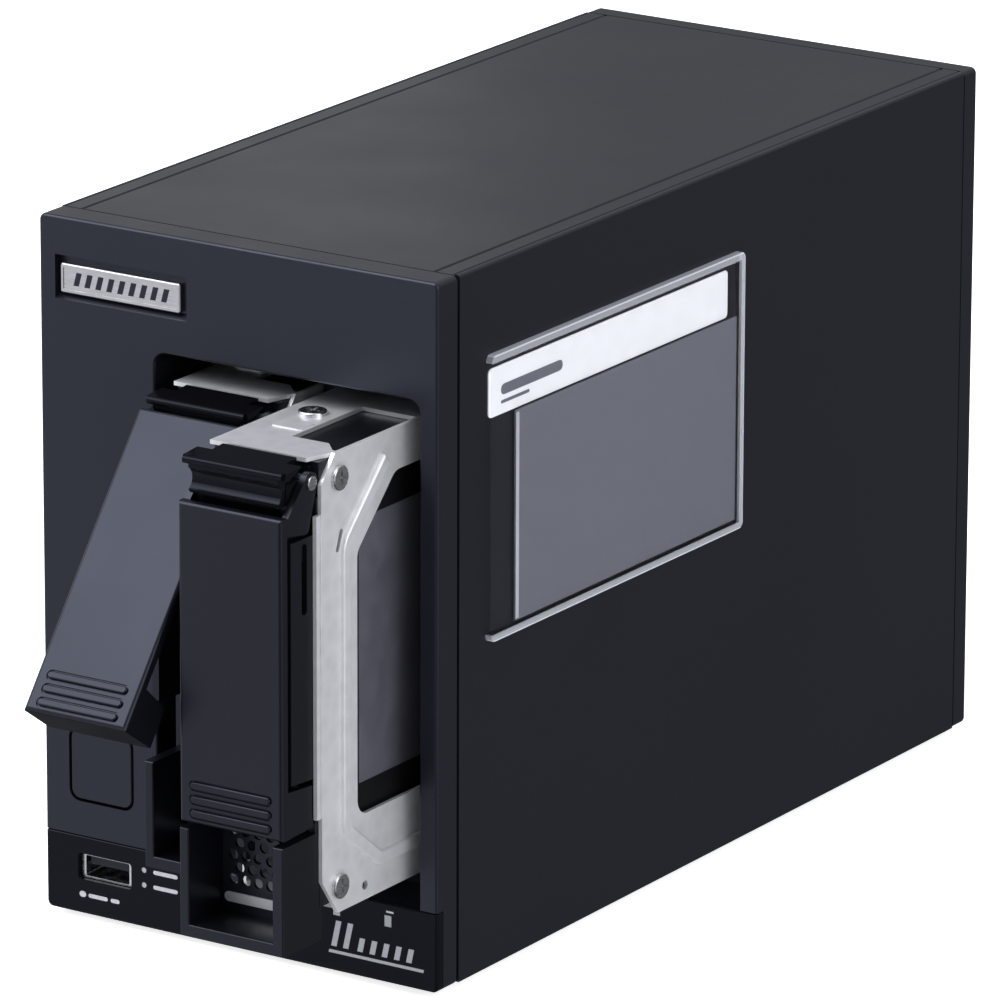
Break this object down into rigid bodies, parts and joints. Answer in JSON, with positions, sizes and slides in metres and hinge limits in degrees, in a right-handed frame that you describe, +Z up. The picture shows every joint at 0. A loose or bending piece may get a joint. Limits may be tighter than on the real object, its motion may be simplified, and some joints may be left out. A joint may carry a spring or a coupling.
{
  "type": "network storage enclosure",
  "caption": "Desktop network storage enclosure with drive trays on slides, hinged tray levers, release bars, rear fan, ports and a side card pocket.",
  "frame": {"origin": "under the centre of the case's footprint, on the plane that its rubber feet stand on", "axes": "+Z up, -Y out of the front with the drive bays, +X to the right side with the card pocket"},
  "size_m": [0.1128, 0.3001, 0.1715],
  "materials": {
    "case_plastic": "satin",
    "painted_steel": "satin powder coat",
    "gloss_black": "polished",
    "tray_plastic": "satin",
    "lever_plastic": "satin",
    "light_pipe": "clear moulding",
    "badge_metal": "brushed",
    "spring_steel": "bright",
    "circuit_board": "solder mask",
    "plated_steel": "nickel plated",
    "zinc_steel": "zinc plated",
    "socket_plastic": "moulded",
    "foot_rubber": "matte",
    "clear_plastic": "clear plastic",
    "label_white": "coated paper",
    "card_grey": "coated card",
    "fan_plastic": "moulded",
    "heatsink_metal": "extruded",
    "drive_metal": "cast"
  },
  "bodies": {
    "case": {"front_bezel": "case_plastic", "lower_fascia": "gloss_black", "light_pipes": "light_pipe", "badge_plate": "badge_metal", "button_spring": "spring_steel", "power_switch": "circuit_board", "front_usb_shell": "plated_steel", "front_usb_tongue": "socket_plastic", "front_io_board": "circuit_board", "side_panel_left": "painted_steel", "side_panel_right": "painted_steel", "top_cover": "painted_steel", "top_panel": "painted_steel", "base_plate": "painted_steel", "rubber_feet": "foot_rubber", "card_holder": "clear_plastic", "card_header": "label_white", "rear_bezel": "case_plastic", "rear_panel": "painted_steel", "rear_screws": "plated_steel", "fan_screws": "plated_steel", "fan_guard": "plated_steel", "fan_frame": "fan_plastic", "drive_cage": "painted_steel", "bay_divider": "painted_steel", "guide_rails": "socket_plastic", "backplane_board": "circuit_board", "sata_connectors": "socket_plastic", "main_board": "circuit_board", "board_standoffs": "plated_steel", "board_heatsink": "heatsink_metal", "lan_port_lower": "plated_steel", "lan_port_upper": "plated_steel", "rear_usb_ports": "plated_steel", "dc_jack": "socket_plastic"},
    "power_button": {"power_button": "case_plastic"},
    "fan_rotor": {"fan_rotor": "fan_plastic"},
    "name_card": {"name_card": "card_grey"},
    "tray_left": {"left_bezel": "tray_plastic", "left_vent_mesh": "painted_steel", "left_bracket": "zinc_steel", "left_bracket_screws": "plated_steel", "left_lever_pins": "plated_steel", "left_latch_spring": "spring_steel", "left_drive_body": "drive_metal", "left_drive_board": "circuit_board", "left_drive_grommets": "foot_rubber"},
    "lever_left": {"left_lever": "lever_plastic"},
    "latch_left": {"left_latch": "gloss_black"},
    "tray_right": {"right_bezel": "tray_plastic", "right_vent_mesh": "painted_steel", "right_bracket": "zinc_steel", "right_bracket_screws": "plated_steel", "right_lever_pins": "plated_steel", "right_latch_spring": "spring_steel", "right_drive_body": "drive_metal", "right_drive_board": "circuit_board", "right_drive_grommets": "foot_rubber"},
    "lever_right": {"right_lever": "lever_plastic"},
    "latch_right": {"right_latch": "gloss_black"}
  },
  "joints": [
    {"name": "power_button_press", "type": "slide", "parent": "case", "child": "power_button", "axis": [0, 1, 0], "range_m": [0, 0.001], "stiffness_N_per_m": 500, "springref_m": -0.0005, "deforming": ["button_spring"]},
    {"name": "fan_spin", "type": "hinge", "parent": "case", "child": "fan_rotor", "pos_m": [0.0105, 0.1, 0.0915], "axis": [0, 1, 0], "continuous": true},
    {"name": "name_card_slide", "type": "slide", "parent": "case", "child": "name_card", "axis": [0, -1, 0], "range_m": [0, 0.09]},
    {"name": "left_tray_slide", "type": "slide", "parent": "case", "child": "tray_left", "axis": [0, -1, 0], "range_m": [-0.0131, 0.1369]},
    {"name": "left_lever_swing", "type": "hinge", "parent": "tray_left", "child": "lever_left", "pos_m": [-0.00325, -0.1212, 0.1317], "axis": [-1, 0, 0], "range_deg": [-37.5, 0]},
    {"name": "left_latch_lift", "type": "slide", "parent": "tray_left", "child": "latch_left", "axis": [0, 0, 1], "range_m": [0, 0.0015], "stiffness_N_per_m": 200, "springref_m": -0.001, "deforming": ["left_latch_spring"]},
    {"name": "right_tray_slide", "type": "slide", "parent": "case", "child": "tray_right", "axis": [0, -1, 0], "range_m": [-0.0472, 0.1028]},
    {"name": "right_lever_swing", "type": "hinge", "parent": "tray_right", "child": "lever_right", "pos_m": [0.03075, -0.1553, 0.1317], "axis": [-1, 0, 0], "range_deg": [0, 37.5]},
    {"name": "right_latch_lift", "type": "slide", "parent": "tray_right", "child": "latch_right", "axis": [0, 0, 1], "range_m": [0, 0.0015], "stiffness_N_per_m": 200, "springref_m": -0.001, "deforming": ["right_latch_spring"]}
  ]
}
